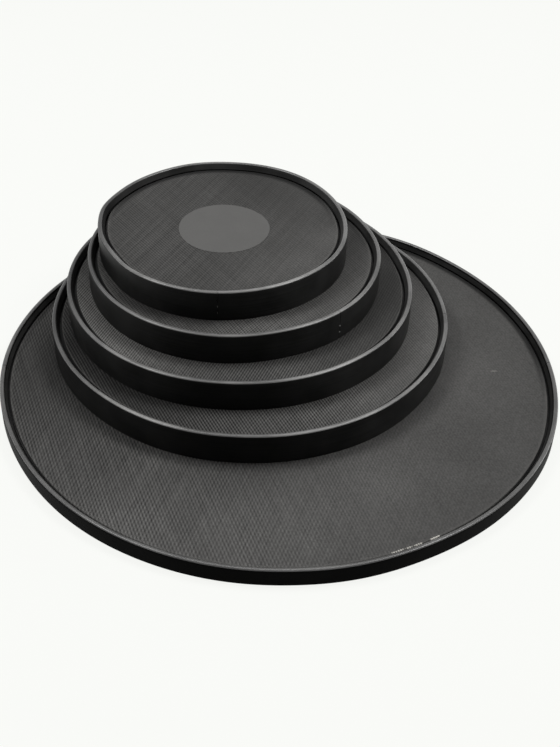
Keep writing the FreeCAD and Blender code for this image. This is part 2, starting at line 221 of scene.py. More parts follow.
@dataclass
class Lathe:
    """A turned surface: a grid of section points by azimuths about an upright axis.

    The section runs anticlockwise as seen with the radius to the right, so that faces point outwards.

    Attributes:
        radius: Each grid point's distance from the axis, as rows of the section by columns of azimuth.
        level: Each grid point's height.
        azimuth: Each column's azimuth.
        centre: Where the axis stands.
        closed_section: Whether the last row joins the first.
        closed_turn: Whether the last column joins the first.
        marks: Values that the mesh keeps at its points, by name.
        finishes: The number of the material that each row of faces takes, if it has more than one.
    """

    radius: np.ndarray
    level: np.ndarray
    azimuth: np.ndarray
    centre: tuple[float, float]
    closed_section: bool = True
    closed_turn: bool = True
    marks: dict[str, np.ndarray] = field(default_factory=dict)
    finishes: np.ndarray | None = None

    def points(self) -> np.ndarray:
        """Every grid point: the centre plus radius times (cos, sin) of the azimuth, at its level."""
        x = self.centre[0] + self.radius * np.cos(self.azimuth)[None, :]
        y = self.centre[1] + self.radius * np.sin(self.azimuth)[None, :]
        return np.stack([x, y, self.level], axis=2).reshape(-1, 3)

    def quads(self) -> tuple[np.ndarray, np.ndarray]:
        """The grid's four-cornered faces.

        Returns:
            The corner numbers of each face, and each corner's (column, row) counted without wrapping.
        """
        rows, columns = self.radius.shape
        row = np.arange(rows if self.closed_section else rows - 1)
        column = np.arange(columns if self.closed_turn else columns - 1)
        row, column = (grid.ravel() for grid in np.meshgrid(row, column, indexing="ij"))
        corner_rows = np.stack([row, row, row + 1, row + 1], axis=1)
        corner_columns = np.stack([column, column + 1, column + 1, column], axis=1)
        numbers = (corner_rows % rows) * columns + corner_columns % columns
        return numbers, np.stack([corner_columns, corner_rows], axis=2)

    def wrap_lengths(self) -> tuple[np.ndarray, np.ndarray]:
        """Length round the turn at each column and length along the section at each row."""
        sweep = np.append(self.azimuth, self.azimuth[0] + FULL_TURN) - self.azimuth[0]
        section = np.stack([self.radius[:, 0], self.level[:, 0]], axis=1)
        section = np.vstack([section, section[:1]])
        along = np.concatenate([[0.0], np.cumsum(np.linalg.norm(np.diff(section, axis=0), axis=1))])
        return sweep * self.radius.max(), along

    def build(self, name: str) -> bpy.types.Object:
        """Make the surface a mesh object.

        Open ends get a flat cap. The UV map holds metres: across is the length round the turn, and up is
        the length along the section.

        Args:
            name: The object's name.

        Returns:
            The object, linked to the scene.
        """
        mesh = bpy.data.meshes.new(name)
        numbers, places = self.quads()
        faces = numbers.tolist()
        rows, columns = self.radius.shape
        if not self.closed_turn:
            section = np.arange(rows) * columns
            faces.append(section[::-1].tolist())
            faces.append((section + columns - 1).tolist())
        mesh.from_pydata(self.points(), [], faces)
        around, along = self.wrap_lengths()
        corners = places.reshape(-1, 2)
        unwrapped = np.zeros((len(mesh.loops), 2), np.float32)
        unwrapped[: len(corners), 0] = around[corners[:, 0]]
        unwrapped[: len(corners), 1] = along[corners[:, 1]]
        mesh.uv_layers.new(name="lengths").data.foreach_set("uv", unwrapped.ravel())
        for mark, values in self.marks.items():
            layer = mesh.attributes.new(mark, "FLOAT", "POINT")
            layer.data.foreach_set("value", values.astype(np.float32).ravel())
        if self.finishes is not None:
            of_faces = np.zeros(len(mesh.polygons), np.int32)
            of_faces[: len(numbers)] = self.finishes[places[:, 0, 1]]
            mesh.polygons.foreach_set("material_index", of_faces)
        return smooth_object(mesh)


# ---------------------------------------------------------------- what sets the pads apart


@dataclass(frozen=True)
class Threads:
    """One family of a weave's threads.

    Attributes:
        turn: The azimuth across the threads, in degrees.
        pitch: How far apart they lie.
        depth: How much they lighten and darken the cloth.
        streak: How uneven their tone is along them.
    """

    turn: float
    pitch: float
    depth: float
    streak: float = 0.16


@dataclass(frozen=True)
class PaintedLightPatch:
    """A soft, broad patch of painted light on the cloth, or of painted shade where its gain is negative.

    It is placed by polar coordinates about the head's middle.

    Attributes:
        azimuth: Its middle's azimuth, in degrees.
        radius: Its middle's radius, as a share of the head's.
        spread: How far it reaches, as a share of the head's radius.
        gain: How much lighter its middle is, or darker where it is negative.
    """

    azimuth: float
    radius: float
    spread: float
    gain: float


@dataclass(frozen=True)
class Scuff:
    """A pale mark on a head, placed by polar coordinates about the head's middle.

    Attributes:
        azimuth: Its middle's azimuth, in degrees.
        radius: Its middle's radius.
        along: Half its length round the head.
        across: Half its width along the radius.
        dotted: Whether it breaks into dots, thread by thread.
        strength: How pale it is.
    """

    azimuth: float
    radius: float
    along: float
    across: float
    dotted: bool
    strength: float


@dataclass(frozen=True)
class Nick:
    """A small dent in the bead.

    Attributes:
        azimuth: Where it is, in degrees.
        width: Half its length round the band.
        depth: How deep it is.
    """

    azimuth: float
    width: float
    depth: float


@dataclass(frozen=True)
class Stray:
    """One bulge or hollow by which a bent band strays from a true circle.

    Attributes:
        size: How far it strays outwards at most, or inwards where it is negative.
        azimuth: Where it strays most, in degrees.
        width: How far the bulge reaches to either side, in degrees.
    """

    size: float
    azimuth: float
    width: float

    def reach(self, azimuth: np.ndarray) -> np.ndarray:
        """The stray at each azimuth: a bell curve of the angle from its middle."""
        return self.size * np.exp(-((away_from(azimuth, self.azimuth) / math.radians(self.width)) ** 2))


def sum_of_strays(strays: tuple[Stray, ...], azimuth: np.ndarray) -> np.ndarray:
    """How far some strays reach together at each azimuth."""
    return sum((stray.reach(azimuth) for stray in strays), np.zeros_like(azimuth))


@dataclass(frozen=True)
class PadLooks:
    """What sets one pad's looks apart.

    Attributes:
        seam_angle: The first seam's azimuth, in degrees.
        threads: The head's two families of threads.
        painted_light_patches: Broad patches of painted light and painted shade on the head.
        strays: How the band strays from a true circle.
        tone: How much lighter the head is than plain cloth.
        fade: How much the threads fade towards +X, as a share of their depth.
        fade_from: Where they start to fade, as a share of the head's radius.
        scuffs: Pale marks on the head.
        nicks: Dents in the bead.
        pin_heights: The seam pins' heights above the foot.
    """

    seam_angle: float
    threads: tuple[Threads, Threads]
    painted_light_patches: tuple[PaintedLightPatch, ...]
    strays: tuple[Stray, ...]
    tone: float
    fade: float = 0.5
    fade_from: float = 0.2
    scuffs: tuple[Scuff, ...] = ()
    nicks: tuple[Nick, ...] = ()
    pin_heights: tuple[float, float] = (16.6 * MM, 8.8 * MM)


LOOKS = {
    "22": PadLooks(
        seam_angle=3.5,
        pin_heights=(13.8 * MM, 8.6 * MM),
        threads=(Threads(21.0, 3.1 * MM, 0.42, 0.20), Threads(-18.0, 3.6 * MM, 0.30, 0.18)),
        fade=0.92,
        fade_from=-0.75,
        tone=1.13,
        painted_light_patches=(
            PaintedLightPatch(-180.0, 0.85, 0.4, -0.54),
            PaintedLightPatch(-90.0, 0.85, 0.27, 0.36),
            PaintedLightPatch(-100.0, 0.5, 0.18, -0.37),
            PaintedLightPatch(-120.0, 0.97, 0.18, 0.30),
            PaintedLightPatch(-60.0, 0.7, 0.18, 0.30),
            PaintedLightPatch(0.0, 0.7, 0.18, 0.24),
        ),
        strays=(
            Stray(-2.0 * MM, -153.0, 20.0),
            Stray(-1.0 * MM, -86.0, 10.0),
            Stray(-2.2 * MM, -61.0, 14.0),
            Stray(1.3 * MM, -24.0, 12.0),
            Stray(-0.9 * MM, 24.0, 18.0),
            Stray(2.4 * MM, 60.0, 12.0),
        ),
        scuffs=(
            Scuff(-64.6, 289.3 * MM, 17.0 * MM, 0.9 * MM, True, 0.85),
            Scuff(-58.5, 289.3 * MM, 5.5 * MM, 0.8 * MM, False, 0.8),
            Scuff(2.0, 237.8 * MM, 1.1 * MM, 4.0 * MM, False, 0.12),
        ),
    ),
    "16": PadLooks(
        seam_angle=0.0,
        threads=(Threads(27.0, 2.95 * MM, 0.90), Threads(-31.0, 3.4 * MM, 0.30)),
        fade=0.75,
        tone=1.14,
        painted_light_patches=(
            PaintedLightPatch(-130.0, 0.97, 0.6, -0.71),
            PaintedLightPatch(-10.0, 0.85, 0.4, 0.48),
            PaintedLightPatch(-50.0, 0.85, 0.18, 0.23),
            PaintedLightPatch(-160.0, 0.97, 0.18, -0.31),
            PaintedLightPatch(180.0, 0.97, 0.3, -0.40),
        ),
        strays=(
            Stray(-1.1 * MM, -134.0, 18.0),
            Stray(-0.6 * MM, -90.0, 8.0),
            Stray(0.7 * MM, -53.0, 12.0),
            Stray(1.5 * MM, -10.0, 18.0),
        ),
    ),
    "14": PadLooks(
        seam_angle=80.0,
        threads=(Threads(-20.0, 2.8 * MM, 0.66), Threads(35.0, 3.7 * MM, 0.22)),
        fade=0.6,
        tone=0.84,
        painted_light_patches=(
            PaintedLightPatch(-150.0, 0.97, 0.6, 0.99),
            PaintedLightPatch(0.0, 0.97, 0.6, -0.40),
            PaintedLightPatch(-130.0, 0.85, 0.18, 0.48),
            PaintedLightPatch(-70.0, 0.97, 0.12, 0.36),
            PaintedLightPatch(-160.0, 0.97, 0.27, 0.12),
            PaintedLightPatch(180.0, 0.97, 0.25, -0.30),
        ),
        strays=(
            Stray(-0.8 * MM, -160.0, 20.0),
            Stray(-2.1 * MM, -88.0, 22.0),
            Stray(1.8 * MM, -26.0, 18.0),
            Stray(-0.8 * MM, 13.0, 10.0),
        ),
    ),
    "12": PadLooks(
        seam_angle=-44.2,
        threads=(Threads(-34.0, 2.55 * MM, 0.46, 0.2), Threads(31.0, 3.1 * MM, 0.42, 0.2)),
        tone=1.24,
        painted_light_patches=(
            PaintedLightPatch(-120.0, 0.85, 0.27, -0.57),
            PaintedLightPatch(20.0, 0.97, 0.4, -0.51),
            PaintedLightPatch(-70.0, 0.97, 0.18, 0.20),
            PaintedLightPatch(-100.0, 0.85, 0.12, -0.33),
            PaintedLightPatch(-140.0, 0.97, 0.18, -0.28),
            PaintedLightPatch(180.0, 0.97, 0.35, -0.45),
        ),
        nicks=(Nick(-92.7, 0.9 * MM, 0.35 * MM),),
        strays=(
            Stray(-0.9 * MM, -162.0, 18.0),
            Stray(0.4 * MM, -122.0, 8.0),
            Stray(-1.9 * MM, -69.0, 18.0),
            Stray(1.0 * MM, 5.0, 14.0),
        ),
    ),
    "10": PadLooks(
        seam_angle=-89.1,
        threads=(Threads(-24.0, 3.6 * MM, 0.13, 0.20), Threads(37.0, 2.8 * MM, 0.36, 0.12)),
        fade_from=-0.4,
        tone=0.86,
        painted_light_patches=(
            PaintedLightPatch(-40.0, 0.97, 0.4, 0.51),
            PaintedLightPatch(70.0, 0.85, 0.4, -0.30),
            PaintedLightPatch(-10.0, 0.97, 0.18, 0.32),
            PaintedLightPatch(130.0, 0.85, 0.27, -0.10),
            PaintedLightPatch(-70.0, 0.85, 0.18, 0.13),
        ),
        nicks=(Nick(-157.0, 1.2 * MM, 0.5 * MM),),
        strays=(
            Stray(-2.4 * MM, -150.0, 14.0),
            Stray(0.6 * MM, -93.0, 12.0),
            Stray(1.4 * MM, -24.0, 20.0),
            Stray(2.4 * MM, 58.0, 26.0),
            Stray(1.4 * MM, 108.0, 14.0),
            Stray(2.0 * MM, 170.0, 10.0),
        ),
    ),
}


# ---------------------------------------------------------------- finishes


class Shade:
    """Builds one material's nodes. Each call returns the new node's output."""

    def __init__(self, name: str) -> None:
        """Start a material.

        Args:
            name: The material's name.
        """
        self.material = bpy.data.materials.new(name)
        self.material.use_nodes = True
        self.nodes = self.material.node_tree.nodes
        self.links = self.material.node_tree.links
        self.surface = self.nodes["Principled BSDF"]

    def set(self, **values: Value) -> None:
        """Set the surface's sockets, whose names are written with underscores for spaces."""
        for name, value in values.items():
            self.feed(self.surface.inputs[name.replace("_", " ")], value)

    def feed(self, socket: Socket, value: Value) -> None:
        """Link a socket to an output, or give it a plain value.

        Args:
            socket: The input.
            value: An output, a number or a colour.
        """
        if isinstance(value, bpy.types.NodeSocket):
            self.links.new(value, socket)
        elif isinstance(value, tuple) and socket.type == "RGBA":
            socket.default_value = (*value, 1.0)
        else:
            socket.default_value = value

    def add(self, kind: str, inputs: dict[int | str, Value], **settings: str) -> bpy.types.Node:
        """Add a node.

        Args:
            kind: The node's type, without its ShaderNode prefix.
            inputs: Values or outputs for its inputs, by name or number.
            **settings: The node's own settings.

        Returns:
            The node.
        """
        node = self.nodes.new(f"ShaderNode{kind}")
        for name, value in settings.items():
            setattr(node, name, value)
        for name, value in inputs.items():
            self.feed(node.inputs[name], value)
        return node

    def place(self, centre: tuple[float, float] = (0.0, 0.0), turn: float = 0.0) -> Socket:
        """The point on the piece, measured from a centre along axes turned about +Z."""
        point = self.add("TexCoord", {}).outputs["Object"]
        inputs = {"Vector": point, "Location": (*centre, 0.0), "Rotation": (0.0, 0.0, turn)}
        return self.add("Mapping", inputs, vector_type="TEXTURE").outputs[0]

    def wrap(self) -> Socket:
        """The point on the piece's own UV map, in metres."""
        return self.add("UVMap", {}, uv_map="lengths").outputs[0]

    def stretch(self, point: Socket, factors: tuple[float, float, float]) -> Socket:
        """A point with its coordinates multiplied one by one."""
        return self.add("VectorMath", {0: point, 1: factors}, operation="MULTIPLY").outputs[0]

    def parts(self, point: Socket) -> tuple[Socket, Socket, Socket]:
        """A point's three coordinates."""
        node = self.add("SeparateXYZ", {0: point})
        return node.outputs[0], node.outputs[1], node.outputs[2]

    def noise(
        self, point: Socket, scale: float = 1.0, detail: float = 2.0, roughness: float = 0.5
    ) -> Socket:
        """Soft noise from about 0.25 to 0.75, with 0.5 as its middle."""
        inputs = {"Vector": point, "Scale": scale, "Detail": detail, "Roughness": roughness}
        return self.add("TexNoise", inputs).outputs[0]

    def math(self, operation: str, first: float | Socket, second: float | Socket = 0.0) -> Socket:
        """One sum on one or two numbers."""
        return self.add("Math", {0: first, 1: second}, operation=operation).outputs[0]

    def fit(self, value: Socket, low: float, high: float, to_low: float, to_high: float) -> Socket:
        """A value carried from one range to another, smoothly, and held at its ends."""
        inputs = {0: value, 1: low, 2: high, 3: to_low, 4: to_high}
        return self.add("MapRange", inputs, interpolation_type="SMOOTHSTEP").outputs[0]

    def spread(self, noise: Socket, middle: float, swing: float) -> Socket:
        """Noise carried to a middle value and a swing to both sides of it."""
        return self.fit(noise, 0.3, 0.7, middle - swing, middle + swing)

    def product(self, *factors: float | Socket) -> Socket:
        """Numbers multiplied together."""
        result = factors[0]
        for factor in factors[1:]:
            result = self.math("MULTIPLY", result, factor)
        return result

    def total(self, *terms: float | Socket) -> Socket:
        """Numbers added together."""
        result = terms[0]
        for term in terms[1:]:
            result = self.math("ADD", result, term)
        return result

    def mark(self, name: str) -> Socket:
        """A value that the mesh keeps at each of its points."""
        return self.add("Attribute", {}, attribute_name=name).outputs["Fac"]

    def dim(self, color: Color | Socket, factor: Socket) -> Socket:
        """A colour multiplied by a number."""
        return self.add("VectorMath", {0: color, "Scale": factor}, operation="SCALE").outputs[0]

    def blend(self, share: float | Socket, first: Color | Socket, second: Color | Socket) -> Socket:
        """A colour part of the way from the first to the second."""
        node = self.add("Mix", {}, data_type="RGBA")
        for number, value in ((0, share), (6, first), (7, second)):
            self.feed(node.inputs[number], value)
        return node.outputs[2]

    def relief(self, height: Socket, depth: float, strength: float) -> None:
        """Let a height from 0 to 1 raise the surface's shading by a depth in metres."""
        node = self.add("Bump", {"Height": height, "Distance": depth, "Strength": strength})
        self.feed(self.surface.inputs["Normal"], node.outputs[0])


class Finish:
    """A finish of the pads, which dresses a new material."""

    def dress(self, shade: Shade) -> None:
        """Build the finish's nodes.

        Args:
            shade: The new material's builder.
        """
        raise NotImplementedError

    def make(self, name: str) -> bpy.types.Material:
        """Make the finish's material.

        Args:
            name: The material's name.

        Returns:
            The material.
        """
        shade = Shade(name)
        self.dress(shade)
        return shade.material


@dataclass(frozen=True)
class BandPlastic(Finish):
    """Near-black extruded plastic: satin and drawn along its length, its tone set by a mark that carries
    painted highlights and painted shade round a tall band.

    Attributes:
        color: The plastic's tone.
        roughness: Its roughness.
        gloss: Its specular level.
    """

    color: Color
    roughness: float
    gloss: float

    def dress(self, shade: Shade) -> None:
        """Lay lengthwise drawing lines over cloudy tone and fine grain.

        Args:
            shade: The material's builder.
        """
        wrap = shade.wrap()
        lines = shade.noise(shade.stretch(wrap, (9.0, 900.0, 1.0)), detail=3.0)
        clouds = shade.noise(shade.place(), scale=26.0, detail=3.0)
        grain = shade.noise(shade.place(), scale=2600.0, detail=1.0)
        uneven = shade.total(shade.spread(clouds, 1.0, 0.3), shade.spread(lines, 0.0, 0.15))
        # The band's mark: its plain tone, with painted highlights and painted shade round a tall band.
        tone = shade.product(uneven, shade.mark("tone_and_painted_light"))
        shade.relief(shade.total(shade.product(lines, 0.6), shade.product(grain, 0.4)), 0.025 * MM, 0.5)
        shade.set(Base_Color=shade.dim(self.color, tone), Specular_IOR_Level=self.gloss)
        shade.set(Roughness=shade.spread(lines, self.roughness, 0.05))


@dataclass(frozen=True)
class WovenMesh(Finish):
    """Black woven mesh: two crossing families of threads over a fine ground, with streaks, soft clouds,
    painted light and painted shade.

    Attributes:
        centre: The head's middle.
        radius: The head's radius.
        looks: What sets the pad's looks apart.
        color: The plain cloth's colour.
        bend_highlight_color: The colour of the painted highlight along the bend.
        collar_shade_color: The near-black colour of the painted shade on the collar.
        scuff_color: The colour of the pale marks.
        ground: The pitch of the fine ground.
        wobble: How far the threads wander.
        rim_shadow_depth: How much darker the painted shadow of the rear rim makes the cloth.
        bend_highlight_share: How much of the painted highlight's colour shows on the bend.
        dot_pitch: How far apart a dotted scuff's dots lie.
    """

    centre: tuple[float, float]
    radius: float
    looks: PadLooks
    color: Color = (0.052, 0.0512, 0.0495)
    bend_highlight_color: Color = (0.16, 0.158, 0.15)
    collar_shade_color: Color = (0.0025, 0.0025, 0.0025)
    scuff_color: Color = (0.62, 0.60, 0.55)
    ground: float = 0.95 * MM
    wobble: float = 1.3 * MM
    rim_shadow_depth: float = 0.88
    bend_highlight_share: float = 0.35
    dot_pitch: float = 2.4 * MM

    def dress(self, shade: Shade) -> None:
        """Lay threads, streaks, soft patches and scuffs over the plain cloth, with painted light and
        painted shade.

        Args:
            shade: The material's builder.
        """
        point = shade.place(self.centre)
        x, y, _ = shade.parts(point)
        pillow = self.pillows(shade, x, y)
        weave, relief = self.weave(shade, point, x)
        clouds = shade.spread(shade.noise(point, scale=22.0, detail=3.0), 1.0, 0.06)
        specks = shade.spread(shade.noise(point, scale=420.0, detail=2.0, roughness=0.7), 1.0, 0.16)
        raised = shade.fit(pillow, 0.0, 1.0, 0.88, 1.08)
        # Painted shadow of the rear rim: the cloth is darker where the mark is.
        rim_shadow = shade.total(1.0, shade.product(shade.mark("rim_shadow"), -self.rim_shadow_depth))
        # Patches of painted light and painted shade scale the cloth's tone, among the other factors.
        factor = shade.product(raised, weave, clouds, specks, self.painted_light_factor(shade, x, y), rim_shadow, self.looks.tone)
        color = shade.dim(self.color, factor)
        # Painted highlight along the bend, strongest on the raised crossings.
        bend_highlight = shade.product(shade.mark("bend_highlight"), shade.fit(pillow, 0.2, 0.9, 0.35, 1.0), self.bend_highlight_share)
        color = shade.blend(bend_highlight, color, self.bend_highlight_color)
        # Painted shade on the collar, down in the gap between the cloth and the band.
        color = shade.blend(shade.mark("collar"), color, self.collar_shade_color)
        for scuff in self.looks.scuffs:
            color = shade.blend(self.scuffed(shade, scuff, point), color, self.scuff_color)
        fuzz = shade.noise(point, scale=700.0, detail=2.0)
        fine = shade.total(shade.product(pillow, 0.35), shade.product(fuzz, 0.15))
        height = shade.total(shade.product(relief, 0.5), fine)
        shade.relief(height, 0.16 * MM, 0.6)
        shade.set(Base_Color=color, Roughness=0.72, Specular_IOR_Level=0.10)
        shade.set(Sheen_Weight=0.06, Sheen_Roughness=0.45)

    def pillows(self, shade: Shade, x: Socket, y: Socket) -> Socket:
        """Fine raised crossings: the sines of both coordinates, made positive and multiplied."""
        waves = []
        for coordinate in (x, y):
            angle = shade.math("MULTIPLY", coordinate, HALF_TURN / self.ground)
            waves.append(shade.math("ABSOLUTE", shade.math("SINE", angle)))
        return shade.math("POWER", shade.product(*waves), 0.5)

    def weave(self, shade: Shade, point: Socket, x: Socket) -> tuple[Socket, Socket]:
        """The crossing threads, which wander a little and come and go, and the streaks along them.

        Each family is a sine of the distance across its threads, and noise drawn out along them.

        Args:
            shade: The material's builder.
            point: The point, measured from the head's middle.
            x: The point's first coordinate.

        Returns:
            The tone's factor, and the threads' height from about 0 to 1.
        """
        wander = shade.total(shade.noise(point, scale=8.0, detail=1.0), -0.5)
        start, end = self.looks.fade_from * self.radius, 0.9 * self.radius
        fading = shade.fit(x, start, end, 1.0, 1.0 - self.looks.fade)
        tone: float | Socket = 1.0
        height: float | Socket = 0.5
        for family in self.looks.threads:
            turned = shade.place(self.centre, math.radians(family.turn))
            across, _, _ = shade.parts(turned)
            moved = shade.total(across, shade.product(wander, self.wobble))
            wave = shade.math("SINE", shade.math("MULTIPLY", moved, FULL_TURN / family.pitch))
            patches = shade.fit(shade.noise(turned, scale=11.0, detail=2.0), 0.3, 0.6, 0.7, 1.0)
            streaks = shade.noise(shade.stretch(turned, (330.0, 7.0, 1.0)), detail=3.0, roughness=0.6)
            streaks = shade.product(shade.fit(streaks, 0.25, 0.75, -family.streak, family.streak), fading)
            tone = shade.total(tone, shade.product(wave, patches, fading, family.depth), streaks)
            height = shade.total(height, shade.product(wave, 0.25))
        return shade.math("MAXIMUM", tone, 0.08), height

    def painted_light_factor(self, shade: Shade, x: Socket, y: Socket) -> Socket:
        """The patches of painted light and painted shade: bell curves of the distance from each one's
        middle.
        """
        factor: float | Socket = 1.0
        for glow in self.looks.painted_light_patches:
            azimuth, middle = math.radians(glow.azimuth), glow.radius * self.radius
            off_x = shade.total(x, -middle * math.cos(azimuth))
            off_y = shade.total(y, -middle * math.sin(azimuth))
            square = shade.total(shade.product(off_x, off_x), shade.product(off_y, off_y))
            bell = shade.math("EXPONENT", shade.product(square, -1.0 / (glow.spread * self.radius) ** 2))
            factor = shade.total(factor, shade.product(bell, glow.gain))
        return factor

    def scuffed(self, shade: Shade, scuff: Scuff, point: Socket) -> Socket:
        """How much of a scuff shows at a point.

        Args:
            shade: The material's builder.
            scuff: The mark.
            point: The point, measured from the head's middle.

        Returns:
            A share from 0 to the mark's strength.
        """
        turn = math.radians(scuff.azimuth)
        x, y, _ = shade.parts(point)
        outward = shade.total(shade.product(x, math.cos(turn)), shade.product(y, math.sin(turn)))
        aside = shade.total(shade.product(x, -math.sin(turn)), shade.product(y, math.cos(turn)))
        bend = shade.product(aside, aside, 0.5 / scuff.radius)
        off_radius = shade.math("ABSOLUTE", shade.total(outward, bend, -scuff.radius))
        off_middle = shade.math("ABSOLUTE", aside)
        ragged = shade.product(shade.total(shade.noise(point, scale=900.0, detail=2.0), -0.5), scuff.across)
        near = shade.fit(shade.total(off_radius, ragged), 0.5 * scuff.across, 1.1 * scuff.across, 1.0, 0.0)
        inside = shade.fit(off_middle, 0.9 * scuff.along, scuff.along, 1.0, 0.0)
        share = shade.product(near, inside, scuff.strength)
        if scuff.dotted:
            dots = shade.math("SINE", shade.math("MULTIPLY", aside, FULL_TURN / self.dot_pitch))
            breaks = shade.fit(shade.noise(point, scale=160.0, detail=1.0), 0.36, 0.5, 0.2, 1.0)
            share = shade.product(share, shade.fit(dots, -0.6, 0.6, 0.25, 1.0), breaks)
        return share


@dataclass(frozen=True)
class PatchFilm(Finish):
    """The round patch: a smooth dark grey film with a fine matt grain.

    Attributes:
        color: The film's tone.
    """

    color: Color = (0.068, 0.067, 0.0645)

    def dress(self, shade: Shade) -> None:
        """Lay a faint grain and faint clouds over the film.

        Args:
            shade: The material's builder.
        """
        grain = shade.noise(shade.place(), scale=900.0, detail=3.0)
        clouds = shade.noise(shade.place(), scale=45.0, detail=2.0)
        tone = shade.product(shade.spread(grain, 1.0, 0.04), shade.spread(clouds, 1.0, 0.03))
        shade.relief(grain, 0.05 * MM, 0.4)
        shade.set(Base_Color=shade.dim(self.color, tone), Roughness=0.62, Specular_IOR_Level=0.3)


@dataclass(frozen=True)
class GrainedPart(Finish):
    """A moulded or metal part with grain, clouds and turning lines.

    Attributes:
        color: The part's tone.
        roughness: Its roughness.
        metallic: 1 for metal and 0 for plastic.
        grain: How fine the grain is, in features per metre.
        depth: How deep the grain is.
        gloss: The specular level.
    """

    color: Color
    roughness: float
    metallic: float = 0.0
    grain: float = 900.0
    depth: float = 0.05 * MM
    gloss: float = 0.4

    def dress(self, shade: Shade) -> None:
        """Lay grain, clouds and turning lines over the part.

        Args:
            shade: The material's builder.
        """
        point = shade.place()
        grain = shade.noise(point, scale=self.grain, detail=3.0)
        levels = shade.noise(shade.stretch(point, (6.0, 6.0, 1400.0)), detail=2.0)
        clouds = shade.noise(point, scale=40.0, detail=3.0)
        tone = shade.product(shade.spread(grain, 1.0, 0.1), shade.spread(clouds, 1.0, 0.15))
        shade.relief(shade.total(shade.product(grain, 0.6), shade.product(levels, 0.4)), self.depth, 0.5)
        shade.set(Base_Color=shade.dim(self.color, tone), Metallic=self.metallic)
        shade.set(Roughness=shade.spread(levels, self.roughness, 0.07), Specular_IOR_Level=self.gloss)


# ---------------------------------------------------------------- one pad


@dataclass(frozen=True)
class PadPlace:
    """Where one pad stands and how high its parts lie, read from the frame's pieces.

    Attributes:
        name: The pad's drum size in inches.
        family: Which kind of pad it is.
        centre: The pad's axis.
        radius: The band's outer radius.
        foot: The level that the band stands on.
        rim: The level of the band's top.
        flange_top: The level of the flange's top.
        hoop_top: The level of the hoop's top.
        hoop_inner: The hoop's inner radius.
        ring_outer: The tension ring's outer radius.
        mesh_under: The level of the mesh's underside.
        mesh_top: The level of the mesh's top.
    """

    name: str
    family: Family
    centre: tuple[float, float]
    radius: float
    foot: float
    rim: float
    flange_top: float
    hoop_top: float
    hoop_inner: float
    ring_outer: float
    mesh_under: float
    mesh_top: float

    @classmethod
    def read(cls, name: str, bands: tuple[str, ...], hoop_width: float) -> "PadPlace":
        """Read a pad's sizes from the boxes of its nodes.

        Args:
            name: The pad's name.
            bands: The names of its band's nodes.
            hoop_width: The hoop's width, which no box gives.

        Returns:
            The pad's place.
        """
        low = np.min([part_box(node)[0] for node in bands], axis=0)
        high = np.max([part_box(node)[1] for node in bands], axis=0)
        hoop_low, hoop_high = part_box(f"mesh_hoop_{name}")
        ring_low, ring_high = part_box(f"tension_ring_{name}")
        mesh_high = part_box(f"mesh_head_{name}")[1]
        centre = (ring_low + ring_high) / 2
        return cls(
            name=name,
            family=Family.LOW if len(bands) > 1 else Family.TALL,
            centre=(centre.x, centre.y),
            radius=float(high[1] - low[1]) / 2,
            foot=float(low[2]),
            rim=float(high[2]),
            flange_top=hoop_low.z,
            hoop_top=hoop_high.z,
            hoop_inner=(hoop_high.x - hoop_low.x) / 2 - hoop_width,
            ring_outer=(ring_high.x - ring_low.x) / 2,
            mesh_under=ring_high.z,
            mesh_top=mesh_high.z,
        )

    @property
    def body(self) -> str:
        """The body that the pad's band and head move with."""
        return f"pad_{self.name}"


